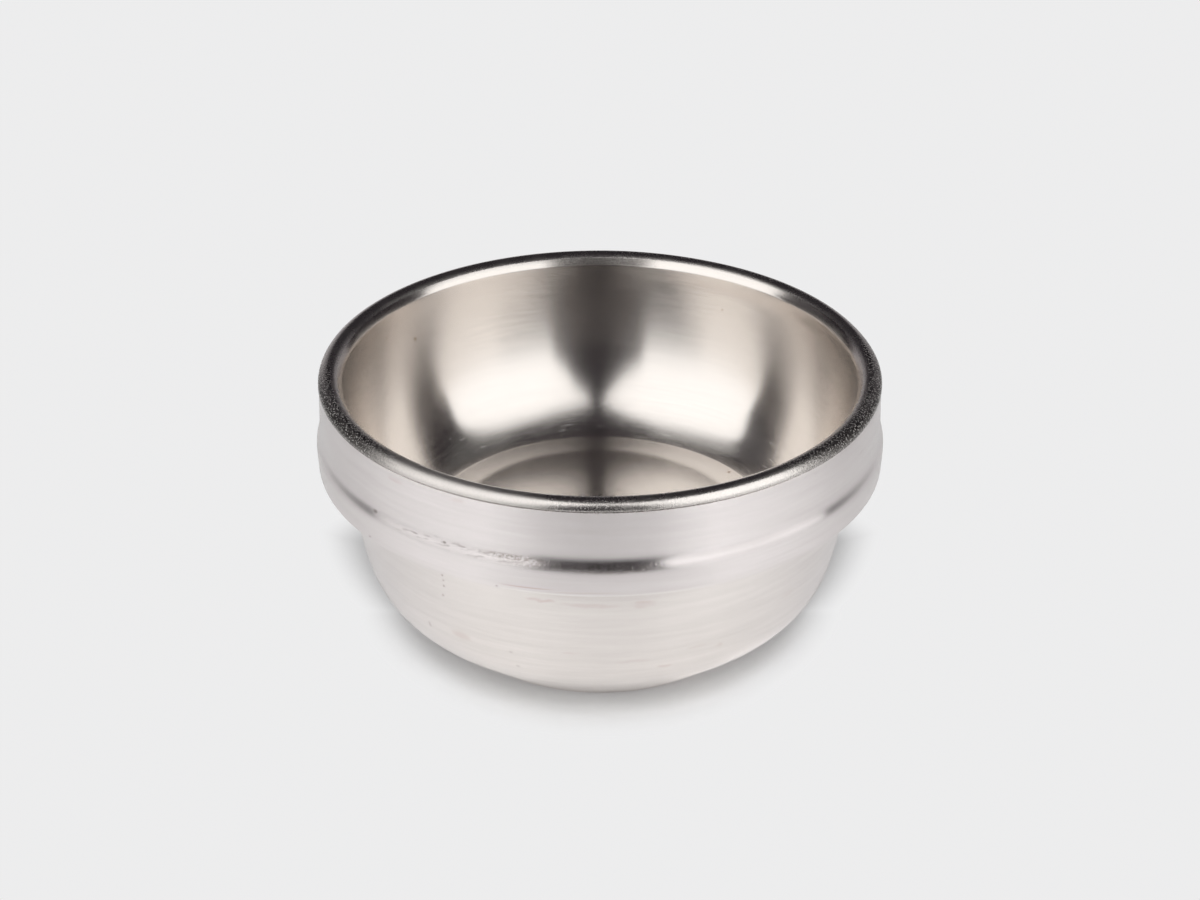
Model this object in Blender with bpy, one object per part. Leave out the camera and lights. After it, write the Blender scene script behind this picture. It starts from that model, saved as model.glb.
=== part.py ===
"""Insulated noodle bowl: a double-wall pressed steel bowl.

Two drawn sheets are joined once, at the rim: the liner's flange bridges the
air gap and is hemmed down over the top edge of the outer wall, with a bead of
sealing compound inside the fold.  Every piece is turned about the Z axis.

Frame: metres, +Z up, origin at the centre of the flat base.
"""
import math

import bmesh
import bpy
from mathutils import Matrix, Vector

for old in list(bpy.data.objects):
    bpy.data.objects.remove(old, do_unlink=True)

MM = 0.001

# ---------------------------------------------------------------- dimensions
SEGMENTS = 64                 # facets round the axis

SHEET = 0.5 * MM              # sheet thickness of both walls
GAP = 0.3 * MM                # clearance between pieces that touch

# rolled lip
LIP_R = 89.9 * MM             # outermost radius of the lip
LIP_Z = 92.0 * MM             # height of that outermost line
CROWN_R = 86.8 * MM           # radius of the lip's highest line
CROWN_RISE = 2.35 * MM        # crown above the outermost line
HEM_DROP = 0.8 * MM           # hem's free edge below the outermost line
BEAD_R = 83.85 * MM           # inner edge of the rolled bead
BEAD_Z = 93.25 * MM
CREASE_R = 82.3 * MM          # where the strip below the bead meets the inside wall
CREASE_Z = 91.05 * MM

# inside of the bowl
WALL_LEAN = math.radians(0.5)     # wall at the crease, off upright
WALL_HIGH = 27.4 * MM             # how far the wall keeps to that direction
WALL_FOOT = math.radians(19.8)    # slope of the wall where it leaves the ring
WALL_LOW = 15.1 * MM              # how far it keeps to that slope
RING_R = 55.4 * MM            # outer edge of the shallow ring round the floor
RING_Z = 38.0 * MM
FLOOR_R = 47.9 * MM           # edge of the floor disc
FLOOR_Z = 36.7 * MM
FLOOR_CROWN = 0.3 * MM        # disc's centre above its edge
FLOOR_ROUND = 1.4 * MM        # length of the soft bend at the disc's edge

# collar of the outer wall
COLLAR_TOP_R = 89.65 * MM     # just under the hem
COLLAR_STEP_R = 90.10 * MM    # above the step
BAND_TOP_R = 91.25 * MM       # below the step
BAND_FOOT_R = 90.85 * MM      # at the collar's lower edge
STEP_Z = 73.2 * MM            # middle of the step
STEP_H = 3.8 * MM             # between the places where those two radii apply
STEP_SOFT = 1.5 * MM          # how softly the step runs out, each way
SHOULDER_Z = 62.5 * MM        # underside of the collar
EDGE_ROUND = 1.2 * MM         # edge radius at the collar's foot
NECK_ROUND = 1.2 * MM         # inside corner under the shoulder

# lower body of the outer wall
BODY_R = 80.87 * MM           # radius under the shoulder
SIDE_RADIUS = 114.1 * MM      # long curve of the side, upright at the shoulder
SIDE_TURN = math.radians(16.6)
HEEL_RADIUS = 29.9 * MM       # tighter curve below it
CONE_SLOPE = math.radians(38.2)   # straight cone down to the base
BASE_ROUND = 4.0 * MM         # edge radius at the flat base

# seal in the fold
SEAL_R = 87.4 * MM
SEAL_Z = 91.85 * MM
SEAL_HALF_W = 0.85 * MM
SEAL_HALF_H = 0.80 * MM


# ------------------------------------------------------------------ profiles
def arc(cr, cz, radius, start, end, count):
    """Points (r, z) along a circle, both ends included."""
    out = []
    for i in range(count):
        a = start + (end - start) * i / (count - 1)
        out.append((cr + radius * math.cos(a), cz + radius * math.sin(a)))
    return out


def curve(p, a, b, q, count):
    """Cubic curve from p to q with the handles a and b, both ends included."""
    out = []
    for i in range(count):
        t = i / (count - 1)
        s = 1.0 - t
        out.append(tuple(s ** 3 * p[k] + 3.0 * s * s * t * a[k] + 3.0 * s * t * t * b[k] + t ** 3 * q[k]
                         for k in (0, 1)))
    return out


def bend(p, corner, q, count):
    """Rounded corner between a point on each of its sides, both ends included."""
    out = []
    for i in range(count):
        t = i / (count - 1)
        out.append(tuple((1.0 - t) ** 2 * p[k] + 2.0 * t * (1.0 - t) * corner[k] + t * t * q[k] for k in (0, 1)))
    return out


def toward(p, q, length):
    d = math.dist(p, q)
    return (p[0] + (q[0] - p[0]) * length / d, p[1] + (q[1] - p[1]) * length / d)


def thicken(points, amount):
    """The sheet's other face: every point moved square to the profile.

    Positive amounts move to the left of the direction of travel.  A point on
    the axis only moves along it.
    """
    out = []
    last = len(points) - 1
    for i, p in enumerate(points):
        dirs = []
        if i > 0:
            dirs.append((Vector(p) - Vector(points[i - 1])).normalized())
        if i < last:
            dirs.append((Vector(points[i + 1]) - Vector(p)).normalized())
        normals = [Vector((-d.y, d.x)) for d in dirs]
        n = normals[0] if len(normals) == 1 else (normals[0] + normals[1]).normalized()
        reach = amount / max(0.5, n.dot(normals[0]))
        r, z = p[0] + n.x * reach, p[1] + n.y * reach
        if p[0] == 0.0:
            r = 0.0
        out.append((r, z))
    return out


def collar(z):
    """Outside radius of the collar: the band below and the neck above, with a soft step between."""
    foot, low = SHOULDER_Z + EDGE_ROUND, STEP_Z - STEP_H / 2
    high, top = STEP_Z + STEP_H / 2, LIP_Z - HEM_DROP - 1.1 * MM
    band = BAND_FOOT_R + (BAND_TOP_R - BAND_FOOT_R) * (z - foot) / (low - foot)
    neck = COLLAR_STEP_R + (COLLAR_TOP_R - COLLAR_STEP_R) * (z - high) / (top - high)
    k = 0.5 * (1.0 + math.erf((z - STEP_Z) / (STEP_SOFT * math.sqrt(2.0))))
    return band * (1.0 - k) + neck * k


def outer_profile():
    """Outside of the outer wall, from the centre of the base to the top edge."""
    # side and heel curves, worked out downwards from the shoulder
    side_cr, side_cz = BODY_R - SIDE_RADIUS, SHOULDER_Z
    side_end = (side_cr + SIDE_RADIUS * math.cos(SIDE_TURN),
                side_cz - SIDE_RADIUS * math.sin(SIDE_TURN))
    heel_cr = side_end[0] - HEEL_RADIUS * math.cos(SIDE_TURN)
    heel_cz = side_end[1] + HEEL_RADIUS * math.sin(SIDE_TURN)
    heel_low = -(math.pi / 2 - CONE_SLOPE)
    heel_end = (heel_cr + HEEL_RADIUS * math.cos(heel_low),
                heel_cz + HEEL_RADIUS * math.sin(heel_low))
    corner_r = heel_end[0] - heel_end[1] / math.tan(CONE_SLOPE)

    pts = [(0.0, 0.0)]
    pts += arc(corner_r - BASE_ROUND * math.tan(CONE_SLOPE / 2), BASE_ROUND, BASE_ROUND,
               -math.pi / 2, heel_low, 4)
    pts += arc(heel_cr, heel_cz, HEEL_RADIUS, heel_low, -SIDE_TURN, 6)
    # the side stops a little early to leave room for the corner's radius
    stop = -math.asin(NECK_ROUND / SIDE_RADIUS)
    pts += arc(side_cr, side_cz, SIDE_RADIUS, -SIDE_TURN, stop, 5)[1:]
    pts += arc(BODY_R + NECK_ROUND, SHOULDER_Z - NECK_ROUND, NECK_ROUND, math.pi, math.pi / 2, 4)[1:]
    pts += arc(BAND_FOOT_R - EDGE_ROUND, SHOULDER_Z + EDGE_ROUND, EDGE_ROUND, -math.pi / 2, 0.0, 4)
    for i in range(-4, 5):
        z = STEP_Z + STEP_SOFT * 0.65 * i
        pts.append((collar(z), z))
    # necked in under the hem, so that the hem stands only a little proud
    hem_edge = LIP_Z - HEM_DROP
    neck_r = LIP_R - SHEET - GAP
    pts.append((COLLAR_TOP_R, hem_edge - 1.1 * MM))
    pts.append((neck_r, hem_edge - 0.2 * MM))
    pts.append((neck_r, LIP_Z + 0.1 * MM))
    return pts


def liner_profile():
    """Inside of the liner and top of the lip, from the floor's centre to the hem."""
    foot, ring, crease, bead = (FLOOR_R, FLOOR_Z), (RING_R, RING_Z), (CREASE_R, CREASE_Z), (BEAD_R, BEAD_Z)

    # slightly crowned floor disc, bent softly up into the shallow ring
    def disc(r):
        return (r, FLOOR_Z + FLOOR_CROWN * (1.0 - (r / FLOOR_R) ** 2))
    pts = [disc(0.0), disc(FLOOR_R * 0.5)]
    pts += bend(disc(FLOOR_R - FLOOR_ROUND), foot, toward(foot, ring, FLOOR_ROUND), 4)

    # wall: one long curve from the ring's edge up to the crease
    low = (ring[0] + WALL_LOW * math.cos(WALL_FOOT), ring[1] + WALL_LOW * math.sin(WALL_FOOT))
    high = (crease[0] - WALL_HIGH * math.sin(WALL_LEAN), crease[1] - WALL_HIGH * math.cos(WALL_LEAN))
    pts += curve(ring, low, high, crease, 13)

    # strip up to the bead's edge, the bead's inner side, then over the crown to the hem
    pts.append(bead)
    crown_z = LIP_Z + CROWN_RISE
    half = math.atan2(crown_z - BEAD_Z, CROWN_R - BEAD_R)
    radius = (CROWN_R - BEAD_R) / math.sin(2.0 * half)
    for i in range(1, 4):
        a = 2.0 * half * (1.0 - i / 4)
        pts.append((CROWN_R - radius * math.sin(a), crown_z - radius * (1.0 - math.cos(a))))
    for i in range(7):
        a = math.pi / 2 * (1.0 - i / 6)
        pts.append((CROWN_R + (LIP_R - CROWN_R) * math.cos(a), LIP_Z + CROWN_RISE * math.sin(a)))
    pts.append((LIP_R, LIP_Z - HEM_DROP))
    return pts


def ring_profile():
    """Rounded section of the sealing bead."""
    out = []
    for i in range(8):
        a = 2.0 * math.pi * (i + 0.5) / 8
        out.append((SEAL_R + SEAL_HALF_W * math.cos(a) / math.cos(math.pi / 8),
                    SEAL_Z + SEAL_HALF_H * math.sin(a) / math.cos(math.pi / 8)))
    return out


# -------------------------------------------------------------------- pieces
def steel(name, colour, roughness, metallic):
    mat = bpy.data.materials.new(name)
    mat.use_nodes = True
    shader = mat.node_tree.nodes["Principled BSDF"]
    shader.inputs["Base Color"].default_value = (*colour, 1.0)
    shader.inputs["Roughness"].default_value = roughness
    shader.inputs["Metallic"].default_value = metallic
    mat.diffuse_color = (*colour, 1.0)
    return mat


def turned(name, profile, closed, material, parent):
    """Spin a profile in the XZ plane once round Z into one closed body."""
    bm = bmesh.new()
    verts = [bm.verts.new((r, 0.0, z)) for r, z in profile]
    edges = [bm.edges.new((a, b)) for a, b in zip(verts, verts[1:])]
    if closed:
        edges.append(bm.edges.new((verts[-1], verts[0])))
    bmesh.ops.spin(bm, geom=verts + edges, cent=(0.0, 0.0, 0.0), axis=(0.0, 0.0, 1.0),
                   angle=2.0 * math.pi, steps=SEGMENTS, use_merge=False, use_duplicate=False)
    bmesh.ops.remove_doubles(bm, verts=bm.verts, dist=0.00002)
    bmesh.ops.recalc_face_normals(bm, faces=bm.faces)
    mesh = bpy.data.meshes.new(name)
    bm.to_mesh(mesh)
    bm.free()
    mesh.shade_smooth()
    mesh.set_sharp_from_angle(angle=math.radians(35.0))
    mesh.materials.append(material)
    obj = bpy.data.objects.new(name, mesh)
    bpy.context.scene.collection.objects.link(obj)
    obj.parent = parent
    obj.matrix_parent_inverse = Matrix.Identity(4)
    return obj


bowl = bpy.data.objects.new("bowl_axis", None)
bpy.context.scene.collection.objects.link(bowl)

liner = liner_profile()
turned("inner_bowl", liner + list(reversed(thicken(liner, -SHEET))), False,
       steel("liner_steel", (0.72, 0.69, 0.64), 0.28, 1.0), bowl)

wall = outer_profile()
turned("outer_shell", wall + list(reversed(thicken(wall, SHEET))), False,
       steel("shell_steel", (0.80, 0.78, 0.77), 0.35, 1.0), bowl)

turned("rim_seal", ring_profile(), True,
       steel("seal_compound", (0.30, 0.29, 0.28), 0.60, 0.0), bowl)
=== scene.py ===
"""Looks for the double-wall steel noodle bowl: fine turned meshes, steel with brushing and wear, studio light."""
import math

import bmesh
import bpy
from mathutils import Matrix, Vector, noise


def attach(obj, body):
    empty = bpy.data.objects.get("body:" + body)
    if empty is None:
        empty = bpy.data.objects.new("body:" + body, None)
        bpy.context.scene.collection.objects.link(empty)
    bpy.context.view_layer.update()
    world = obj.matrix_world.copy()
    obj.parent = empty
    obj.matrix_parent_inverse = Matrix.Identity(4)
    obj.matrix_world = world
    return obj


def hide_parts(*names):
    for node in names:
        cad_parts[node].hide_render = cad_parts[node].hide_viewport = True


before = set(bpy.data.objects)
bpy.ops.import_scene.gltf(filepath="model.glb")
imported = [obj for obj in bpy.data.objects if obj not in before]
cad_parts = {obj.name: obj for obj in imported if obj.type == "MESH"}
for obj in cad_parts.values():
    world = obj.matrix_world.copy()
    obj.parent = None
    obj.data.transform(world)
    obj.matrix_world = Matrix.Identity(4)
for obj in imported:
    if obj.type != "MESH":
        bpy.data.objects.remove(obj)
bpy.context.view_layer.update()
scene = bpy.context.scene
MM = 0.001

# ------------------------------------------------------------- dimensions (mm)
SHEET = 0.5
GAP = 0.3
LIP_R, LIP_Z = 89.9, 92.0
CROWN_R, CROWN_RISE = 86.8, 2.35
HEM_DROP = 0.8
BEAD_R, BEAD_Z = 83.85, 93.25
CREASE_R, CREASE_Z = 82.3, 91.05
WALL_LEAN, WALL_HIGH = math.radians(0.5), 27.4
WALL_FOOT, WALL_LOW = math.radians(19.8), 15.1
RING_R, RING_Z = 55.4, 38.0
FLOOR_R, FLOOR_Z, FLOOR_CROWN = 47.9, 36.7, 0.3
COLLAR_TOP_R, COLLAR_STEP_R = 89.65, 90.03
BAND_TOP_R, BAND_FOOT_R = 91.30, 90.85
STEP_Z, STEP_H, STEP_SOFT = 72.9, 3.8, 1.7
SHOULDER_Z, EDGE_ROUND, NECK_ROUND = 62.5, 1.2, 1.2
BODY_R, SIDE_RADIUS, SIDE_TURN = 80.87, 114.1, math.radians(16.6)
HEEL_RADIUS, CONE_SLOPE, BASE_ROUND = 29.9, math.radians(38.2), 4.0

SEGMENTS = 600


# ------------------------------------------------------------------- profiles
def arc(cr, cz, radius, start, end, count):
    return [(cr + radius * math.cos(start + (end - start) * i / (count - 1)),
             cz + radius * math.sin(start + (end - start) * i / (count - 1))) for i in range(count)]


def line(p, q, count):
    """Points after p up to and including q."""
    return [(p[0] + (q[0] - p[0]) * i / count, p[1] + (q[1] - p[1]) * i / count) for i in range(1, count + 1)]


def joggle(p, q, count):
    """Smooth points after p up to and including q."""
    out = []
    for i in range(1, count + 1):
        t = i / count
        k = t * t * (3.0 - 2.0 * t)
        out.append((p[0] + (q[0] - p[0]) * k, p[1] + (q[1] - p[1]) * t))
    return out


def thicken(points, amount):
    """Other face of the sheet, moved square to the profile, to the left of travel."""
    out = []
    last = len(points) - 1
    for i, p in enumerate(points):
        a, b = points[max(i - 1, 0)], points[min(i + 1, last)]
        d = Vector((b[0] - a[0], b[1] - a[1])).normalized()
        out.append((0.0 if p[0] == 0.0 else p[0] - d.y * amount, p[1] + d.x * amount))
    return out


def blend(p, corner, q, count):
    """Small rounding of a corner between two points on its sides, ends left out."""
    out = []
    for i in range(1, count + 1):
        t = i / (count + 1)
        out.append(tuple((1 - t) ** 2 * p[k] + 2 * t * (1 - t) * corner[k] + t * t * q[k] for k in (0, 1)))
    return out


def toward(p, q, length):
    d = math.dist(p, q)
    return (p[0] + (q[0] - p[0]) * length / d, p[1] + (q[1] - p[1]) * length / d)


def liner_profile():
    """Food side of the liner and top of the lip, from the floor's centre to the hem's edge."""
    # floor disc, a shallow conical ring with a crisp outer edge, then the wall up to the crease
    def floor(r):
        return (r, FLOOR_Z + FLOOR_CROWN * (1.0 - (r / FLOOR_R) ** 2))
    foot, head, crease = (FLOOR_R, FLOOR_Z), (RING_R, RING_Z), (CREASE_R, CREASE_Z)
    pts = [floor((FLOOR_R - 1.4) * i / 14) for i in range(15)]
    pts += blend(pts[-1], foot, toward(foot, head, 1.4), 6) + [toward(foot, head, 1.4)]
    pts += line(pts[-1], toward(head, foot, 0.35), 4)
    c1 = (RING_R + WALL_LOW * math.cos(WALL_FOOT), RING_Z + WALL_LOW * math.sin(WALL_FOOT))
    c2 = (CREASE_R - WALL_HIGH * math.sin(WALL_LEAN), CREASE_Z - WALL_HIGH * math.cos(WALL_LEAN))
    wall = []
    for i in range(51):
        t = i / 50
        wall.append(tuple((1 - t) ** 3 * head[k] + 3 * (1 - t) ** 2 * t * c1[k] + 3 * (1 - t) * t * t * c2[k] + t ** 3 * crease[k]
                          for k in (0, 1)))
    pts += blend(pts[-1], head, toward(head, wall[1], 0.35), 3) + [toward(head, wall[1], 0.35)]
    pts += wall[1:-1]
    # crease, sloping strip, then the bead with a crisp inner edge
    rim = (BEAD_R, BEAD_Z)
    bulge = (82.79, 92.15)
    low = toward(crease, wall[-2], 0.25)
    pts += [low] + blend(low, crease, toward(crease, bulge, 0.25), 2)
    start, stop = toward(crease, bulge, 0.25), toward(rim, bulge, 0.14)
    pts += [start] + blend(start, bulge, stop, 5) + [stop]
    half = math.atan2(LIP_Z + CROWN_RISE - BEAD_Z, CROWN_R - BEAD_R)
    radius = (CROWN_R - BEAD_R) / math.sin(2 * half)
    bead = [(CROWN_R - radius * math.sin(a), LIP_Z + CROWN_RISE - radius * (1 - math.cos(a)))
            for a in (2 * half * (1 - i / 12) for i in range(13))]
    pts += blend(stop, rim, toward(rim, bead[1], 0.14), 2) + [toward(rim, bead[1], 0.14)]
    pts += bead[1:-1]
    edge = LIP_Z - HEM_DROP
    foot = edge + 0.10
    for i in range(19):
        a = math.radians(90.0 - 83.0 * i / 18)
        pts.append((CROWN_R + (LIP_R - CROWN_R) * math.cos(a), foot + (LIP_Z + CROWN_RISE - foot) * math.sin(a)))
    pts += [(LIP_R - 0.01, foot + 0.10), (LIP_R - 0.02, edge + 0.06), (LIP_R - 0.06, edge + 0.02), (LIP_R - 0.12, edge)]
    return pts


def collar(z):
    """Outside radius of the collar: the band below and the neck above, with a soft step between."""
    foot, low = SHOULDER_Z + EDGE_ROUND, STEP_Z - STEP_H / 2
    high, top = STEP_Z + STEP_H / 2, LIP_Z - HEM_DROP - 1.1
    band = BAND_FOOT_R + (BAND_TOP_R - BAND_FOOT_R) * (z - foot) / (low - foot)
    neck = COLLAR_STEP_R + (COLLAR_TOP_R - COLLAR_STEP_R) * (z - high) / (top - high)
    k = 0.5 * (1.0 + math.erf((z - STEP_Z) / (STEP_SOFT * math.sqrt(2.0))))
    return band * (1.0 - k) + neck * k


def shell_profile():
    """Outside of the outer wall, from the base's centre to the top edge under the hem."""
    side_cr, side_cz = BODY_R - SIDE_RADIUS, SHOULDER_Z
    side_end = (side_cr + SIDE_RADIUS * math.cos(SIDE_TURN), side_cz - SIDE_RADIUS * math.sin(SIDE_TURN))
    heel_cr = side_end[0] - HEEL_RADIUS * math.cos(SIDE_TURN)
    heel_cz = side_end[1] + HEEL_RADIUS * math.sin(SIDE_TURN)
    low = -(math.pi / 2 - CONE_SLOPE)
    heel_end = (heel_cr + HEEL_RADIUS * math.cos(low), heel_cz + HEEL_RADIUS * math.sin(low))
    corner = heel_end[0] - heel_end[1] / math.tan(CONE_SLOPE)
    base_r = corner - BASE_ROUND * math.tan(CONE_SLOPE / 2)
    pts = [(0.0, 0.0)] + line((0.0, 0.0), (base_r, 0.0), 10)
    pts += arc(base_r, BASE_ROUND, BASE_ROUND, -math.pi / 2, low, 9)[1:]
    pts += line(pts[-1], heel_end, 8)
    pts += arc(heel_cr, heel_cz, HEEL_RADIUS, low, -SIDE_TURN, 16)[1:]
    stop = -math.asin(NECK_ROUND / SIDE_RADIUS)
    pts += arc(side_cr, side_cz, SIDE_RADIUS, -SIDE_TURN, stop, 16)[1:]
    pts += arc(BODY_R + NECK_ROUND, SHOULDER_Z - NECK_ROUND, NECK_ROUND, math.pi, math.pi / 2, 7)[1:]
    pts += line(pts[-1], (BAND_FOOT_R - EDGE_ROUND, SHOULDER_Z), 4)
    pts += arc(BAND_FOOT_R - EDGE_ROUND, SHOULDER_Z + EDGE_ROUND, EDGE_ROUND, -math.pi / 2, 0.0, 9)[1:]
    low = STEP_Z - 3.2 * STEP_SOFT
    pts += line(pts[-1], (collar(low), low), 4)
    for i in range(1, 31):
        z = low + 6.4 * STEP_SOFT * i / 30
        pts.append((collar(z), z))
    edge = LIP_Z - HEM_DROP
    neck = LIP_R - SHEET - GAP
    pts += line(pts[-1], (COLLAR_TOP_R, edge - 0.35), 10)
    pts += joggle(pts[-1], (neck, edge - 0.05), 5)
    pts += line(pts[-1], (neck, LIP_Z + 0.1), 2)
    return pts


# --------------------------------------------------------------------- meshes
def turned(name, front, back, wobble=None):
    """One closed turned body: front is the seen face, back the hidden one, both from the axis outwards.

    Its map is the sheet unrolled: round the axis one way and along the profile the other.
    """
    ring = front + list(reversed(back))
    runs = [0.0]
    for p, q in zip(ring, ring[1:]):
        runs.append(runs[-1] + math.dist(p, q))
    split = runs[len(front) - 1]
    rows_v = [0.005 + 0.845 * d / split if d <= split else 0.855 + 0.14 * (d - split) / (runs[-1] - split) for d in runs]
    bm = bmesh.new()
    loops = []
    spot = {}
    for j, (r, z) in enumerate(ring):
        if r == 0.0:
            v = bm.verts.new((0.0, 0.0, z * MM))
            spot[v] = (j, None)
            loops.append([v])
            continue
        row = []
        for k in range(SEGMENTS):
            a = 2.0 * math.pi * k / SEGMENTS
            dr, dz = wobble(a, r, z) if wobble else (0.0, 0.0)
            v = bm.verts.new(((r + dr) * math.cos(a) * MM, (r + dr) * math.sin(a) * MM, (z + dz) * MM))
            spot[v] = (j, k)
            row.append(v)
        loops.append(row)
    uv = bm.loops.layers.uv.new("OFBake")
    for lo, hi in zip(loops, loops[1:]):
        for k in range(SEGMENTS):
            m = (k + 1) % SEGMENTS
            if len(lo) == 1:
                face = bm.faces.new((lo[0], hi[k], hi[m]))
            elif len(hi) == 1:
                face = bm.faces.new((lo[k], hi[0], lo[m]))
            else:
                face = bm.faces.new((lo[k], hi[k], hi[m], lo[m]))
            for loop in face.loops:
                j, col = spot[loop.vert]
                u = (k + 0.5) / SEGMENTS if col is None else (k + 1 if col == m else k) / SEGMENTS
                loop[uv].uv = (0.003 + 0.994 * u, rows_v[j])
    bmesh.ops.recalc_face_normals(bm, faces=bm.faces)
    mesh = bpy.data.meshes.new(name)
    bm.to_mesh(mesh)
    bm.free()
    mesh.shade_smooth()
    mesh.set_sharp_from_angle(angle=math.radians(40.0))
    obj = bpy.data.objects.new(name, mesh)
    scene.collection.objects.link(obj)
    return obj


# ------------------------------------------------------------------ materials
class Tree:
    """Small helper for building shader nodes."""

    def __init__(self, name):
        self.mat = bpy.data.materials.new(name)
        self.mat.use_nodes = True
        self.t = self.mat.node_tree
        self.t.nodes.clear()
        self.out = self.t.nodes.new("ShaderNodeOutputMaterial")
        self.bsdf = self.t.nodes.new("ShaderNodeBsdfPrincipled")
        self.t.links.new(self.bsdf.outputs[0], self.out.inputs["Surface"])

    def put(self, socket, value):
        if isinstance(value, bpy.types.NodeSocket):
            self.t.links.new(value, socket)
        else:
            socket.default_value = value

    def math(self, op, a, b=None, c=None, clamp=False):
        n = self.t.nodes.new("ShaderNodeMath")
        n.operation = op
        n.use_clamp = clamp
        for i, v in enumerate((a, b, c)):
            if v is not None:
                self.put(n.inputs[i], v)
        return n.outputs[0]

    def combine(self, x, y, z):
        n = self.t.nodes.new("ShaderNodeCombineXYZ")
        for i, v in enumerate((x, y, z)):
            self.put(n.inputs[i], v)
        return n.outputs[0]

    def noise(self, vector, scale=1.0, detail=2.0, rough=0.5, distortion=0.0):
        n = self.t.nodes.new("ShaderNodeTexNoise")
        n.noise_dimensions = "3D"
        self.put(n.inputs["Vector"], vector)
        n.inputs["Scale"].default_value = scale
        n.inputs["Detail"].default_value = detail
        n.inputs["Roughness"].default_value = rough
        n.inputs["Distortion"].default_value = distortion
        return n.outputs["Fac"]

    def fit(self, value, a, b, c=0.0, d=1.0, smooth=False):
        n = self.t.nodes.new("ShaderNodeMapRange")
        n.interpolation_type = "SMOOTHSTEP" if smooth else "LINEAR"
        n.clamp = True
        self.put(n.inputs["Value"], value)
        n.inputs["From Min"].default_value = a
        n.inputs["From Max"].default_value = b
        n.inputs["To Min"].default_value = c
        n.inputs["To Max"].default_value = d
        return n.outputs["Result"]

    def mix(self, fac, a, b):
        n = self.t.nodes.new("ShaderNodeMix")
        n.data_type = "RGBA"
        self.put(n.inputs["Factor"], fac)
        self.put(n.inputs[6], a if isinstance(a, bpy.types.NodeSocket) else (*a, 1.0))
        self.put(n.inputs[7], b if isinstance(b, bpy.types.NodeSocket) else (*b, 1.0))
        return n.outputs[2]

    def bump(self, height, strength, distance, normal=None):
        n = self.t.nodes.new("ShaderNodeBump")
        n.inputs["Strength"].default_value = strength
        n.inputs["Distance"].default_value = distance
        self.put(n.inputs["Height"], height)
        if normal is not None:
            self.put(n.inputs["Normal"], normal)
        return n.outputs[0]

    def round_coords(self):
        """x, y, z in mm, radius, cosine and sine of the angle round the axis, and travel along the profile."""
        tc = self.t.nodes.new("ShaderNodeTexCoord")
        sep = self.t.nodes.new("ShaderNodeSeparateXYZ")
        self.t.links.new(tc.outputs["Object"], sep.inputs[0])
        x = self.math("MULTIPLY", sep.outputs[0], 1000.0)
        y = self.math("MULTIPLY", sep.outputs[1], 1000.0)
        z = self.math("MULTIPLY", sep.outputs[2], 1000.0)
        r = self.math("SQRT", self.math("ADD", self.math("MULTIPLY", x, x), self.math("MULTIPLY", y, y)))
        safe = self.math("MAXIMUM", r, 0.01)
        c = self.math("DIVIDE", x, safe)
        s = self.math("DIVIDE", y, safe)
        return x, y, z, r, c, s, self.math("ADD", r, z)

    def brushed(self, c, s, run, along, across, detail=2.0, rough=0.5):
        """Noise drawn out round the axis: along is turns of noise per radius, across is per millimetre."""
        return self.noise(self.combine(self.math("MULTIPLY", c, along), self.math("MULTIPLY", s, along),
                                       self.math("MULTIPLY", run, across)), 1.0, detail, rough)

    def turn(self, x, y):
        """Angle round the axis in degrees, 0 at the front and growing to the right."""
        return self.math("MULTIPLY", self.math("ARCTAN2", x, self.math("MULTIPLY", y, -1.0)), 180.0 / math.pi)

    def hairs(self, u, v, angle, length, width, low, high, seed):
        """Fine scratches lying at an angle, in a flat map of millimetres."""
        ca, sa = math.cos(math.radians(angle)), math.sin(math.radians(angle))
        p = self.math("ADD", self.math("MULTIPLY", u, ca / length), self.math("MULTIPLY", v, sa / length))
        q = self.math("ADD", self.math("MULTIPLY", u, -sa / width), self.math("MULTIPLY", v, ca / width))
        return self.fit(self.noise(self.combine(p, q, seed), 1.0, 0.0), low, high)

    def spots(self, u, z, marks):
        """Soft patches: (turn in degrees, height in mm, half width, half height, strength)."""
        total = None
        for a, h, wide, tall, k in marks:
            p = self.math("MULTIPLY", self.math("SUBTRACT", u, a), 1.0 / wide)
            q = self.math("MULTIPLY", self.math("SUBTRACT", z, h), 1.0 / tall)
            d = self.math("ADD", self.math("MULTIPLY", p, p), self.math("MULTIPLY", q, q))
            v = self.fit(d, 0.0, 1.0, k, 0.0, True)
            total = v if total is None else self.math("MAXIMUM", total, v)
        return total

    def tangent_round(self):
        n = self.t.nodes.new("ShaderNodeTangent")
        n.direction_type = "RADIAL"
        n.axis = "Z"
        self.t.links.new(n.outputs[0], self.bsdf.inputs["Tangent"])


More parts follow.
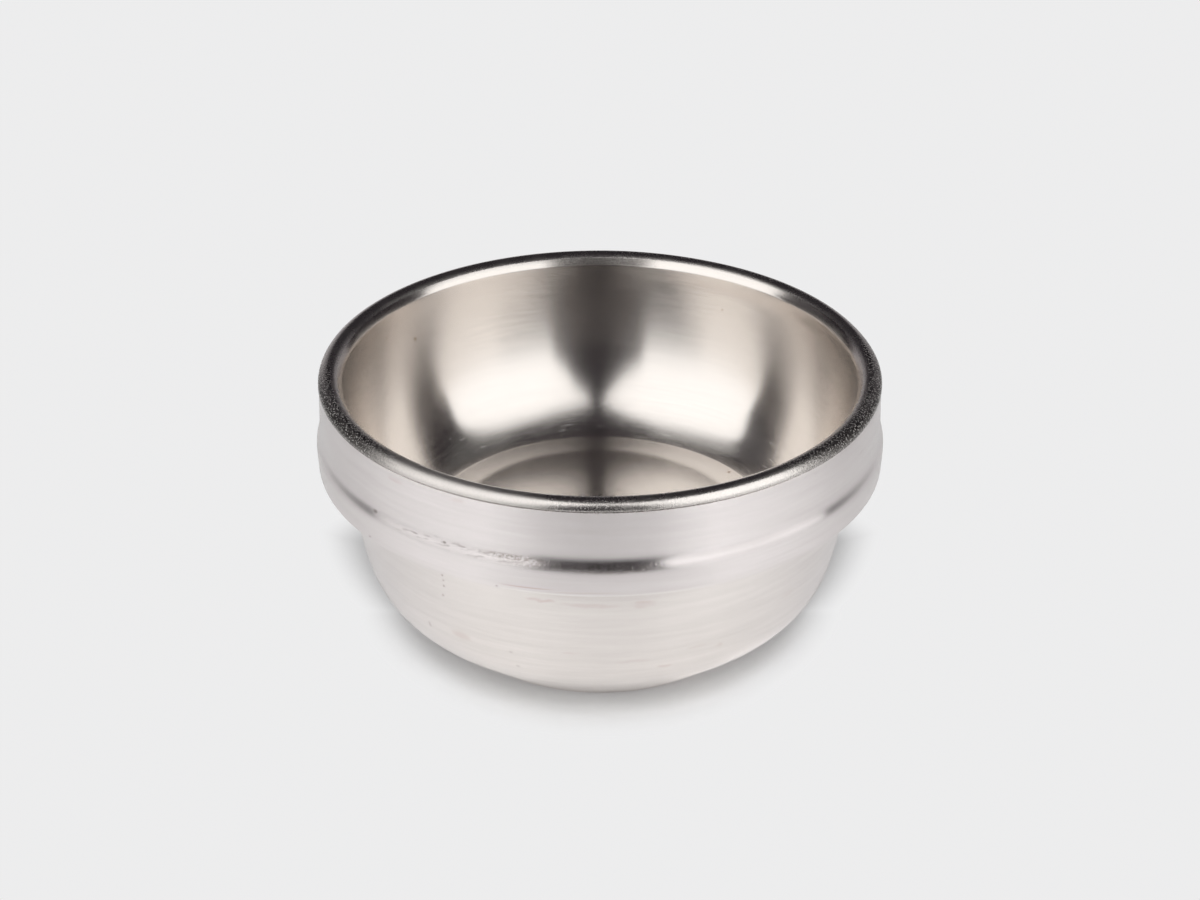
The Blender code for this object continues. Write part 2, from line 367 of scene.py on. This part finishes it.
def liner_material():
    m = Tree("liner_steel_brushed")
    b = m.bsdf.inputs
    x, y, z, r, c, s, run = m.round_coords()
    spot = m.combine(x, y, z)
    fine = m.brushed(c, s, run, 5.0, 1.5, 2.0, 0.6)
    streak = m.brushed(c, s, run, 1.4, 0.7, 3.0, 0.6)
    cloud = m.noise(spot, 0.03, 3.0, 0.5)
    grain = m.noise(spot, 2.6, 1.0, 0.5)
    # scratches, mostly low down where the spoon goes
    turn = m.turn(x, m.math("MULTIPLY", y, -1.0))
    warp = m.noise(spot, 0.12, 1.0, 0.5)
    u = m.math("ADD", m.math("MULTIPLY", turn, 1.2), m.math("MULTIPLY", warp, 9.0))
    v = m.math("ADD", run, m.math("MULTIPLY", warp, 5.0))
    marks = m.hairs(u, v, 3.0, 7.0, 0.20, 0.64, 0.86, 3.1)
    for k, (angle, length, width, share) in enumerate(((-6.0, 6.0, 0.20, 0.9), (34.0, 4.6, 0.18, 0.6), (-31.0, 4.8, 0.18, 0.6), (74.0, 4.0, 0.18, 0.5))):
        marks = m.math("MAXIMUM", marks, m.math("MULTIPLY", m.hairs(u, v, angle, length, width, 0.66, 0.86, 11.7 + 5.3 * k), share))
    wear = m.math("MULTIPLY", m.fit(z, 44.0, 62.0, 1.0, 0.0, True), m.fit(r, 54.0, 56.5, 0.25, 1.0, True))
    marks = m.math("MULTIPLY", marks, wear)
    stains = m.spots(turn, z, [(-50.4, 77.8, 0.7, 0.8, 0.7), (-60.2, 83.6, 0.5, 0.6, 0.6), (54.5, 37.75, 0.7, 0.12, 0.7),
                               (31.0, 80.0, 0.4, 0.5, 0.5), (-14.0, 86.0, 0.4, 0.4, 0.4)])
    tone = m.math("ADD", m.math("MULTIPLY", fine, 0.5), m.math("MULTIPLY", streak, 0.5))
    colour = m.mix(m.fit(tone, 0.3, 0.7), (0.775, 0.730, 0.689), (0.816, 0.771, 0.729))
    # dull, grainy stretch of the strip under the bead, at the back; its dark colour is partly real pitting and partly
    # painted dark reflection
    back_pitting_and_dark_reflection = m.math("MULTIPLY", m.fit(z, 91.1, 91.5, 0.0, 1.0, True), m.fit(m.math("ABSOLUTE", turn), 8.0, 15.0, 1.0, 0.0, True))
    colour = m.mix(m.math("MULTIPLY", back_pitting_and_dark_reflection, m.fit(grain, 0.38, 0.60, 0.65, 1.0)), colour, (0.29, 0.27, 0.255))
    m.put(b["Base Color"], m.mix(stains, colour, (0.42, 0.30, 0.20)))
    b["Metallic"].default_value = 1.0
    base = m.math("ADD", m.fit(z, 38.2, 40.0, -0.02, 0.0), m.fit(z, 54.0, 71.0, 0.18, 0.235, True))
    rough = m.math("ADD", m.math("ADD", m.fit(fine, 0.30, 0.70, -0.004, 0.028), base), m.fit(cloud, 0.3, 0.7, -0.01, 0.01))
    rough = m.math("ADD", rough, m.math("MULTIPLY", back_pitting_and_dark_reflection, 0.17))
    m.put(b["Roughness"], m.math("ADD", rough, m.math("MULTIPLY", marks, 0.09)))
    b["Anisotropic"].default_value = 0.88
    b["Anisotropic Rotation"].default_value = 0.25
    m.tangent_round()
    shown = m.math("MULTIPLY", fine, m.fit(m.math("ABSOLUTE", turn), 25.0, 60.0, 1.0, 0.3, True))
    brushed = m.bump(m.math("ADD", shown, m.math("MULTIPLY", m.math("MULTIPLY", grain, wear), 0.35)), 0.06, 0.00005)
    m.put(b["Normal"], m.bump(marks, 0.09, 0.00003, brushed))
    return m.mat


def lip_material():
    m = Tree("lip_steel_polished")
    b = m.bsdf.inputs
    x, y, z, r, c, s, run = m.round_coords()
    spot = m.combine(x, y, z)
    turn = m.turn(x, y)
    grain = m.noise(spot, 1.7, 2.0, 0.6)
    flecks = m.noise(spot, 1.9, 0.0, 0.5)
    cloud = m.noise(spot, 0.12, 3.0, 0.6)
    # two stretches where the lip is pitted and dull, faint grain elsewhere; the dark base colour there is partly real
    # pitting and partly painted dark reflection
    pitting_and_dark_reflection = m.spots(turn, z, [(-67.0, 93.0, 26.0, 9.0, 1.0), (72.0, 93.0, 36.0, 9.0, 1.0), (2.0, 93.0, 18.0, 9.0, 0.07), (150.0, 93.0, 40.0, 9.0, 0.25)])
    outer = m.fit(r, 85.2, 86.6, 0.0, 1.0, True)
    pitting_and_dark_reflection = m.math("MULTIPLY", m.math("MULTIPLY", pitting_and_dark_reflection, outer), m.fit(cloud, 0.35, 0.6, 0.75, 1.0))
    pits = m.math("MULTIPLY", m.fit(grain, 0.47, 0.60, 0.0, 1.0, True), m.math("ADD", pitting_and_dark_reflection, 0.06))
    # painted shade along the hem's lower edge, darkest at the front, where the hem reflects the dark front
    painted_hem_shade = m.math("MULTIPLY", m.fit(z, 91.3, 91.75, 0.60, 0.0, True), m.fit(m.math("ABSOLUTE", turn), 12.0, 50.0, 1.0, 0.25))
    # painted dark reflection, with real pitting: the pitted stretches are darkened in the base colour
    colour = m.mix(m.math("MULTIPLY", pitting_and_dark_reflection, 0.88), (0.775, 0.735, 0.700), (0.20, 0.185, 0.175))
    colour = m.mix(m.math("MAXIMUM", pits, painted_hem_shade), colour, (0.14, 0.13, 0.12))
    # darker inner bead at the front left: partly dull steel, partly painted dark reflection
    stain_and_dark_reflection = m.math("MULTIPLY", m.spots(turn, z, [(-32.0, 93.0, 24.0, 9.0, 0.50)]), m.math("SUBTRACT", 1.0, outer))
    colour = m.mix(stain_and_dark_reflection, colour, (0.26, 0.245, 0.23))
    glint = m.math("MULTIPLY", m.fit(flecks, 0.62, 0.70, 0.0, 1.0, True), pitting_and_dark_reflection)
    m.put(b["Base Color"], m.mix(glint, colour, (0.80, 0.77, 0.74)))
    b["Metallic"].default_value = 1.0
    rough = m.math("ADD", m.fit(cloud, 0.35, 0.7, 0.25, 0.30), m.math("MULTIPLY", m.spots(turn, z, [(-32.0, 93.0, 24.0, 9.0, 0.20)]), outer))
    rough = m.math("SUBTRACT", rough, m.math("MULTIPLY", m.math("MINIMUM", pitting_and_dark_reflection, 1.0), 0.12))
    rough = m.math("ADD", rough, m.math("MULTIPLY", glint, 0.36))
    m.put(b["Roughness"], m.math("ADD", rough, m.math("MULTIPLY", pits, 0.08)))
    height = m.math("ADD", m.math("MULTIPLY", grain, m.math("ADD", m.math("MULTIPLY", pitting_and_dark_reflection, 0.30), m.fit(m.math("ABSOLUTE", turn), 20.0, 45.0, 0.045, 0.07))), m.math("MULTIPLY", glint, 0.5))
    m.put(b["Normal"], m.bump(height, 1.0, 0.00055))
    return m.mat


def shell_material():
    m = Tree("shell_steel_satin")
    b = m.bsdf.inputs
    x, y, z, r, c, s, run = m.round_coords()
    spot = m.combine(x, y, z)
    turn = m.turn(x, y)
    fine = m.brushed(c, s, run, 2.2, 1.1, 1.0, 0.5)
    streak = m.brushed(c, s, run, 2.6, 0.35, 2.0, 0.55)
    cloud = m.noise(m.combine(x, y, m.math("MULTIPLY", z, 1.6)), 0.035, 4.0, 0.55)
    grain = m.noise(spot, 1.6, 2.0, 0.6)
    # worn stretch on the step, left of the front
    worn = m.math("MULTIPLY", m.spots(turn, z, [(-32.0, 73.6, 19.0, 1.9, 1.0), (-22.0, 73.3, 12.0, 1.8, 1.0)]),
                  m.fit(m.noise(spot, 0.35, 2.0, 0.6), 0.35, 0.6, 0.35, 1.0))
    dashes = m.math("MULTIPLY", m.hairs(m.math("MULTIPLY", turn, 1.58), z, 3.0, 3.2, 0.75, 0.56, 0.70, 2.4), worn)
    # dirt specks in the step at the front, with painted dark reflection: the step's dark core is deepened in its colour
    step_specks_and_dark_reflection = m.math("MULTIPLY", m.spots(turn, z, [(1.5, 72.6, 13.0, 2.4, 1.0), (-9.0, 72.9, 13.0, 2.0, 0.6), (-17.0, 74.2, 10.0, 1.2, 1.0)]),
                  m.fit(m.noise(m.combine(m.math("MULTIPLY", turn, 1.6), m.math("MULTIPLY", z, 1.3), 3.3), 1.0, 3.0, 0.65), 0.38, 0.60, 0.15, 1.0))
    # rust-brown smudges, a faint line above the collar's foot, and small pits
    jig_u = m.math("ADD", turn, m.math("MULTIPLY", m.math("SUBTRACT", m.noise(spot, 0.45, 2.0, 0.6), 0.5), 5.0))
    jig_z = m.math("ADD", z, m.math("MULTIPLY", m.math("SUBTRACT", m.noise(spot, 0.38, 2.0, 0.6), 0.5), 2.4))
    smudge = m.spots(jig_u, jig_z, [(-43.3, 88.6, 2.6, 1.1, 0.26), (-28.6, 89.2, 2.0, 1.0, 0.26), (-12.8, 54.3, 4.6, 0.8, 0.38),
                                    (-2.0, 53.4, 8.0, 1.1, 0.22), (9.5, 53.6, 3.4, 1.8, 0.30), (-34.0, 32.5, 3.4, 2.6, 0.26),
                                    (28.8, 31.0, 1.8, 1.1, 0.38), (23.0, 33.0, 3.6, 0.8, 0.28), (15.5, 26.8, 2.4, 0.8, 0.36),
                                    (8.0, 30.5, 5.5, 0.7, 0.26), (-6.8, 34.2, 3.0, 0.7, 0.22), (48.0, 41.0, 3.0, 1.6, 0.16), (150.0, 40.0, 6.0, 1.2, 0.3),
                                    (-130.0, 82.0, 4.0, 1.0, 0.3)])
    thread = m.spots(turn, m.math("ADD", z, m.math("MULTIPLY", turn, -0.02)), [(-14.0, 65.0, 7.0, 0.30, 0.5), (-3.0, 64.3, 9.0, 0.22, 0.25)])
    pits = m.spots(turn, z, [(-36.8, 54.7, 0.40, 0.55, 0.55), (-36.6, 52.9, 0.36, 0.5, 0.5), (-36.6, 50.8, 0.42, 0.6, 0.55), (-37.2, 47.0, 0.45, 0.7, 0.4),
                             (-50.9, 64.2, 0.5, 0.5, 0.6), (-19.8, 63.6, 0.35, 0.4, 0.55), (-21.0, 31.3, 0.6, 0.8, 0.25), (-20.0, 25.0, 0.6, 0.8, 0.3),
                             (-44.1, 31.1, 0.6, 1.6, 0.3), (-30.9, 74.0, 0.55, 0.5, 0.7), (-49.1, 74.2, 0.8, 0.7, 0.6), (-19.1, 73.9, 0.4, 0.4, 0.7),
                             (-16.7, 74.3, 0.4, 0.4, 0.6), (64.0, 84.0, 0.4, 0.5, 0.4)])
    smudge = m.math("MULTIPLY", smudge, m.fit(streak, 0.38, 0.60, 0.35, 0.95))
    # the base's rounded corner, up to 2.6 mm high, also gets the brown: painted shade, the shadowed floor reflected
    # there
    rust_and_base_shade = m.math("MAXIMUM", m.math("MAXIMUM", smudge, thread), m.fit(z, 0.2, 2.6, 0.42, 0.0, True))
    tone = m.math("ADD", m.math("MULTIPLY", streak, 0.65), m.math("MULTIPLY", fine, 0.35))
    colour = m.mix(m.fit(tone, 0.32, 0.68), (0.802, 0.754, 0.745), (0.885, 0.836, 0.829))
    warm = m.mix(m.fit(tone, 0.32, 0.68), (0.802, 0.754, 0.726), (0.885, 0.836, 0.805))
    colour = m.mix(m.math("MULTIPLY", m.fit(z, 58.0, 66.0, 1.0, 0.0, True), m.fit(m.math("ABSOLUTE", turn), 30.0, 65.0, 1.0, 0.2)), colour, warm)
    colour = m.mix(rust_and_base_shade, colour, (0.60, 0.42, 0.37))
    # dark marks: real scuffs on the worn stretch, plus the painted dark reflection in the step
    scuffs_and_dark_reflection = m.math("MAXIMUM", m.math("MULTIPLY", dashes, 0.42), m.math("MULTIPLY", step_specks_and_dark_reflection, 0.62))
    colour = m.mix(m.math("MAXIMUM", pits, scuffs_and_dark_reflection), colour, (0.30, 0.25, 0.22))
    m.put(b["Base Color"], colour)
    b["Metallic"].default_value = 1.0
    rough = m.math("ADD", m.fit(fine, 0.25, 0.75, 0.215, 0.24), m.fit(cloud, 0.3, 0.7, -0.01, 0.02))
    m.put(b["Roughness"], m.math("ADD", rough, m.math("MULTIPLY", worn, 0.015)))
    b["Anisotropic"].default_value = 0.75
    b["Anisotropic Rotation"].default_value = 0.25
    m.tangent_round()
    m.put(b["Normal"], m.bump(m.math("MULTIPLY", grain, m.math("MAXIMUM", m.math("MULTIPLY", worn, 0.05), m.math("MULTIPLY", step_specks_and_dark_reflection, m.fit(turn, -12.0, -7.0, 0.0, 1.0, True)))), 0.32, 0.00016))
    return m.mat


def seal_material():
    m = Tree("seal_compound")
    b = m.bsdf.inputs
    x, y, z, r, c, s, run = m.round_coords()
    grain = m.noise(m.combine(x, y, z), 1.2, 4.0, 0.6)
    m.put(b["Base Color"], m.mix(grain, (0.20, 0.19, 0.18), (0.34, 0.33, 0.31)))
    m.put(b["Roughness"], m.fit(grain, 0.3, 0.7, 0.55, 0.75))
    m.put(b["Normal"], m.bump(grain, 0.4, 0.0002))
    return m.mat


# --------------------------------------------------------------------- pieces
liner_front = liner_profile()
liner_back = thicken(liner_front[:-4], -SHEET)
liner_back = liner_back[:-1:4] + [(LIP_R - SHEET, LIP_Z - 0.4), (LIP_R - SHEET + 0.03, LIP_Z - HEM_DROP)]


def ring_shift(a, r, z):
    """The pressed floor sits a little left of the rim's centre."""
    if z > 60.0 or r < 40.0:
        return 0.0, 0.0
    return -0.4 * math.cos(a) * max(0.0, min(1.0, (r - 40.0) / 6.0, (64.0 - r) / 7.0)), 0.0


def rim_bend(a, z):
    """The rim is pushed in a little at the back right."""
    turn = math.degrees(math.atan2(math.cos(a), -math.sin(a)))
    k = max(0.0, min(1.0, (turn - 86.0) / 26.0, (178.0 - turn) / 26.0))
    h = max(0.0, min(1.0, (z - 85.0) / 6.0))
    return -0.42 * k * k * (3.0 - 2.0 * k) * h * h * (3.0 - 2.0 * h)


def step_dents(a, r, z):
    """Knocks along the step, left of the front."""
    turn = math.degrees(math.atan2(math.cos(a), -math.sin(a)))
    k = max(0.0, 1.0 - abs(z - STEP_Z) / 3.2) * max(0.0, min(1.0, (turn + 51.0) / 4.0, (-13.0 - turn) / 4.0))
    if k == 0.0 or r < BODY_R + 4.0:
        return 0.0, 0.0
    return k * 0.008 * (noise.noise(Vector((turn * 0.55, z * 0.5, 4.2))) - 0.15), 0.0


liner = turned("liner", liner_front, liner_back, lambda a, r, z: (ring_shift(a, r, z)[0] + rim_bend(a, z), 0.0))
liner.data.materials.append(liner_material())
liner.data.materials.append(lip_material())
for poly in liner.data.polygons:
    cen = poly.center
    rad = math.hypot(cen.x, cen.y) / MM
    if cen.z / MM > CREASE_Z - 0.9 and rad > BEAD_R - 0.06:
        poly.material_index = 1

shell_front = shell_profile()
shell_back = thicken(shell_front, SHEET)
shell = turned("shell", shell_front, shell_back[:-1:5] + shell_back[-1:], lambda a, r, z: (step_dents(a, r, z)[0] + rim_bend(a, z), 0.0))
shell.data.materials.append(shell_material())

for piece, node, slot in ((liner, "inner_bowl", "liner_steel"), (shell, "outer_shell", "shell_steel")):
    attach(piece, "root")
    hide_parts(node)
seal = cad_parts["rim_seal"]
seal.data.materials.clear()
seal.data.materials.append(seal_material())

# --------------------------------------------------------------------- camera
DIST, TILT, F_PX = 0.900, math.radians(26.93), 2814.0
aim = Vector((0.0, 0.0, LIP_Z * MM))
cam = bpy.data.cameras.new("camera")
cam.sensor_width = 36.0
cam.lens = F_PX / 1200.0 * 36.0
cam.clip_start = 0.01
cam_obj = bpy.data.objects.new("camera", cam)
scene.collection.objects.link(cam_obj)
cam_obj.location = aim + DIST * Vector((0.0, -math.cos(TILT), math.sin(TILT)))
down = math.atan((450.0 - 370.8) / F_PX)
cam_obj.rotation_euler = (math.pi / 2 - TILT - down, 0.0, 0.0)
scene.camera = cam_obj


# ---------------------------------------------------------------------- stage
def emitter(name, colour, strength):
    mat = bpy.data.materials.new(name)
    mat.use_nodes = True
    t = mat.node_tree
    t.nodes.clear()
    out = t.nodes.new("ShaderNodeOutputMaterial")
    em = t.nodes.new("ShaderNodeEmission")
    em.inputs["Color"].default_value = (*colour, 1.0)
    em.inputs["Strength"].default_value = strength
    t.links.new(em.outputs[0], out.inputs["Surface"])
    return mat


def dome_card(name, rows, radius, centre, material, columns=16):
    """Softbox as a patch of a dome: rows of (elevation, from azimuth, to azimuth), in degrees; azimuth 0 is the front."""
    bm = bmesh.new()
    grid = []
    for el, a0, a1 in rows:
        e = math.radians(el)
        grid.append([bm.verts.new((centre[0] + radius * math.cos(e) * math.sin(math.radians(a0 + (a1 - a0) * i / columns)),
                                   centre[1] - radius * math.cos(e) * math.cos(math.radians(a0 + (a1 - a0) * i / columns)),
                                   centre[2] + radius * math.sin(e))) for i in range(columns + 1)])
    for lo, hi in zip(grid, grid[1:]):
        for i in range(columns):
            bm.faces.new((lo[i], lo[i + 1], hi[i + 1], hi[i]))
    mesh = bpy.data.meshes.new(name)
    bm.to_mesh(mesh)
    bm.free()
    mesh.materials.append(material)
    obj = bpy.data.objects.new(name, mesh)
    scene.collection.objects.link(obj)
    obj.visible_camera = False
    return obj


centre = (0.0, 0.0, 0.07)
dome_card("softbox_right", [(4, 20.5, 92), (8, 22.5, 90), (14, 23.5, 86), (20, 23.5, 85.5), (26, 20.3, 88), (32, 17.2, 92.5), (40, 16, 96.5),
                            (48, 11.3, 97.5), (54, 8, 94.5), (58, 6.5, 90.5), (61.5, 6, 82), (63.5, 14, 74), (66, 38, 60)], 1.6, centre,
          emitter("softbox_right", (1.0, 1.0, 1.0), 1.38))
dome_card("softbox_left", [(4, -20.5, -92), (8, -20.5, -90), (14, -21.5, -87.5), (20, -22.5, -88), (26, -20, -89.2), (32, -15.5, -94.2), (38, -11.8, -102.8),
                           (44, -8.6, -108.7), (50, -5.8, -111.3), (56, -3, -110), (61.5, -2.2, -106.3), (64, -5, -103.5), (67, -12, -99.5), (71, -24, -93),
                           (75, -48, -82)], 1.6, centre, emitter("softbox_left", (1.0, 1.0, 1.0), 1.36))
dome_card("side_right", [(-4, 94, 136), (4, 94, 136), (8, 94, 134), (14, 94, 132)], 1.6, centre,
          emitter("side_right", (1.0, 1.0, 1.0), 0.20))
dome_card("side_left", [(-4, -94, -134), (4, -94, -134), (8, -94, -132), (14, -94, -132)], 1.6, centre,
          emitter("side_left", (1.0, 1.0, 1.0), 0.20))
dome_card("low_right", [(-10, 26, 92), (4, 20.5, 92)], 1.6, centre, emitter("low_right", (1.0, 1.0, 1.0), 0.95))
dome_card("low_left", [(-10, -26, -92), (4, -20.5, -92)], 1.6, centre, emitter("low_left", (1.0, 1.0, 1.0), 0.72))
dome_card("back_left", [(47, -111, -130), (52, -112, -134), (58, -111, -137), (66, -103, -138), (74, -92, -136)], 1.6, centre,
          emitter("back_left", (1.0, 1.0, 1.0), 0.38))
dome_card("back_right", [(40, 99, 138), (50, 101, 142), (58, 99, 142), (64, 98, 138)], 1.6, centre,
          emitter("back_right", (1.0, 1.0, 1.0), 0.10))
dome_card("back_left_low", [(28, -97, -130), (38, -105, -134), (46, -111, -136)], 1.6, centre, emitter("back_left_low", (1.0, 0.95, 1.0), 0.09))
dome_card("back_low_right", [(-10, 143, 180), (9, 143, 180)], 1.6, centre, emitter("back_low_right", (1.0, 0.97, 1.0), 0.36))
dome_card("back_low_left", [(-10, 180, 217), (9, 180, 217)], 1.6, centre, emitter("back_low_left", (1.0, 0.97, 1.0), 0.44))
dome_card("back_mid_right", [(9, 143, 166), (24, 143, 166)], 1.6, centre, emitter("back_mid_right", (1.0, 0.95, 1.0), 0.22))
dome_card("back_mid_left", [(9, 194, 217), (24, 194, 217)], 1.6, centre, emitter("back_mid_left", (1.0, 0.95, 1.0), 0.22))
dome_card("back_wall", [(24, 143, 217), (36, 140, 212), (50, 140, 206)], 1.6, centre, emitter("back_wall", (1.05, 0.92, 1.1), 0.020))

# fills for the paper only: they aren't seen in the steel
for name, rows, strength in (("fill_front", [(25, -10, 10), (45, -10, 10)], 25.8), ("fill_high", [(45, -10, 10), (60, -10, 10)], 33.5),
                             ("fill_back", [(3, 110, 250), (20, 110, 250)], 11.3), ("fill_rear", [(20, 140, 220), (40, 140, 220)], 3.0),
                             ("fill_left", [(30, -40, -80), (60, -40, -80)], 3.6), ("fill_right", [(30, 40, 80), (60, 40, 80)], 3.6)):
    fill = dome_card(name, rows, 2.2, (0.0, 0.0, 0.0), emitter(name, (1.0, 1.0, 1.0), strength), 24)
    fill.visible_glossy = False

# pale floor that fades out to the same pale tone
floor_mat = Tree("floor_paper")
floor_mat.bsdf.inputs["Roughness"].default_value = 0.9
floor_mat.bsdf.inputs["Specular IOR Level"].default_value = 0.1
ftc = floor_mat.t.nodes.new("ShaderNodeTexCoord")
flen = floor_mat.t.nodes.new("ShaderNodeVectorMath")
flen.operation = "LENGTH"
floor_mat.t.links.new(ftc.outputs["Object"], flen.inputs[0])
dist = flen.outputs["Value"]
fsep = floor_mat.t.nodes.new("ShaderNodeSeparateXYZ")
floor_mat.t.links.new(ftc.outputs["Object"], fsep.inputs[0])
fpath = floor_mat.t.nodes.new("ShaderNodeLightPath")
fnoise = floor_mat.noise(ftc.outputs["Object"], 300.0, 3.0, 0.6)
# what the steel sees of the paper has painted light and shade in its colour: brightest at the front corners
front = floor_mat.math("DIVIDE", floor_mat.math("MULTIPLY", fsep.outputs[1], -1.0), floor_mat.math("MAXIMUM", dist, 0.001))
close = floor_mat.math("MULTIPLY", floor_mat.fit(front, 0.10, 0.75, 0.475, 0.53), floor_mat.fit(front, 0.92, 1.0, 1.0, 0.93))
away = floor_mat.math("MULTIPLY", floor_mat.fit(front, -0.20, 0.60, 0.445, 0.545, True), floor_mat.fit(front, 0.78, 1.0, 1.0, 0.70))
side = floor_mat.math("DIVIDE", fsep.outputs[0], floor_mat.math("MAXIMUM", dist, 0.001))
# painted light: the paper beside the base on the right is lighter as the steel sees it, lifting the shadow there
lift = floor_mat.math("MAXIMUM", floor_mat.math("MULTIPLY", floor_mat.fit(side, 0.36, 0.60, 0.0, 0.45, True), floor_mat.fit(dist, 0.052, 0.066, 1.0, 0.0, True)),
                      floor_mat.math("MULTIPLY", floor_mat.fit(side, 0.58, 0.80, 0.0, 0.28, True), floor_mat.fit(dist, 0.062, 0.080, 1.0, 0.0, True)))
close = floor_mat.math("MULTIPLY", close, floor_mat.math("ADD", lift, 1.0))
reach = floor_mat.fit(dist, 0.12, 0.20, 0.0, 1.0, True)
away = floor_mat.math("MULTIPLY", away, floor_mat.fit(side, 0.60, 0.95, 1.0, 0.93))
tone = floor_mat.math("ADD", floor_mat.math("MULTIPLY", close, floor_mat.math("SUBTRACT", 1.0, reach)), floor_mat.math("MULTIPLY", away, reach))
# painted shade: the paper far ahead is darker as the steel sees it
ahead = floor_mat.math("MULTIPLY", floor_mat.fit(front, 0.84, 0.95, 0.0, 0.85, True), floor_mat.fit(dist, 0.31, 0.42, 0.0, 1.0, True))
tone = floor_mat.math("MULTIPLY", tone, floor_mat.math("SUBTRACT", 1.0, ahead))
tone = floor_mat.math("ADD", floor_mat.math("MULTIPLY", tone, floor_mat.math("SUBTRACT", 1.0, fpath.outputs["Is Camera Ray"])),
                      floor_mat.math("MULTIPLY", fpath.outputs["Is Camera Ray"], 0.49))
tone = floor_mat.math("MULTIPLY", tone, floor_mat.fit(fnoise, 0.3, 0.7, 0.99, 1.01))
floor_mat.put(floor_mat.bsdf.inputs["Base Color"], floor_mat.combine(tone, tone, tone))
fmix = floor_mat.t.nodes.new("ShaderNodeMixShader")
clear = floor_mat.t.nodes.new("ShaderNodeBsdfTransparent")
far = floor_mat.fit(dist, 0.32, 0.58, 0.0, 1.0, True)
spread = floor_mat.math("MULTIPLY", floor_mat.fit(front, -0.5, -0.05, 0.615, 0.88), floor_mat.fit(front, 0.0, 0.60, 1.0, 1.118))
# painted light: close to the base the camera also gets a little of the pale glow, which lifts the darkest contact
# shadow
near = floor_mat.math("MULTIPLY", floor_mat.math("MAXIMUM", floor_mat.fit(floor_mat.math("MULTIPLY", dist, spread), 0.055, 0.071, 0.0, 1.0, True),
                       floor_mat.fit(dist, 0.044, 0.052, 0.22, 0.0)), fpath.outputs["Is Camera Ray"])
floor_mat.put(fmix.inputs[0], far)
floor_mat.t.links.new(floor_mat.bsdf.outputs[0], fmix.inputs[1])
floor_mat.t.links.new(clear.outputs[0], fmix.inputs[2])
blank = floor_mat.t.nodes.new("ShaderNodeEmission")
blank.inputs["Color"].default_value = (0.845, 0.845, 0.849, 1.0)
fend = floor_mat.t.nodes.new("ShaderNodeMixShader")
floor_mat.put(fend.inputs[0], near)
floor_mat.t.links.new(fmix.outputs[0], fend.inputs[1])
floor_mat.t.links.new(blank.outputs[0], fend.inputs[2])
floor_mat.t.links.new(fend.outputs[0], floor_mat.out.inputs["Surface"])
floor_mat.mat.cycles.emission_sampling = "NONE"
bm = bmesh.new()
bmesh.ops.create_circle(bm, cap_ends=True, segments=96, radius=0.60)
fmesh = bpy.data.meshes.new("floor")
bm.to_mesh(fmesh)
bm.free()
fmesh.materials.append(floor_mat.mat)
floor = bpy.data.objects.new("floor", fmesh)
scene.collection.objects.link(floor)
floor.location = (0.0, 0.0, -0.0002)

# dim room; only what the camera sees straight past the floor is pale
world = bpy.data.worlds.new("room")
scene.world = world
world.use_nodes = True
wt = world.node_tree
wt.nodes.clear()
wout = wt.nodes.new("ShaderNodeOutputWorld")
wmix = wt.nodes.new("ShaderNodeMixShader")
dim = wt.nodes.new("ShaderNodeBackground")
dim.inputs["Color"].default_value = (0.016, 0.012, 0.016, 1.0)
pale = wt.nodes.new("ShaderNodeBackground")
pale.inputs["Color"].default_value = (0.845, 0.845, 0.849, 1.0)
path = wt.nodes.new("ShaderNodeLightPath")
wt.links.new(path.outputs["Is Camera Ray"], wmix.inputs[0])
wt.links.new(dim.outputs[0], wmix.inputs[1])
wt.links.new(pale.outputs[0], wmix.inputs[2])
wt.links.new(wmix.outputs[0], wout.inputs[0])

scene.view_settings.view_transform = "Standard"
scene.view_settings.look = "None"
scene.view_settings.exposure = 0.0
scene.view_settings.gamma = 1.0
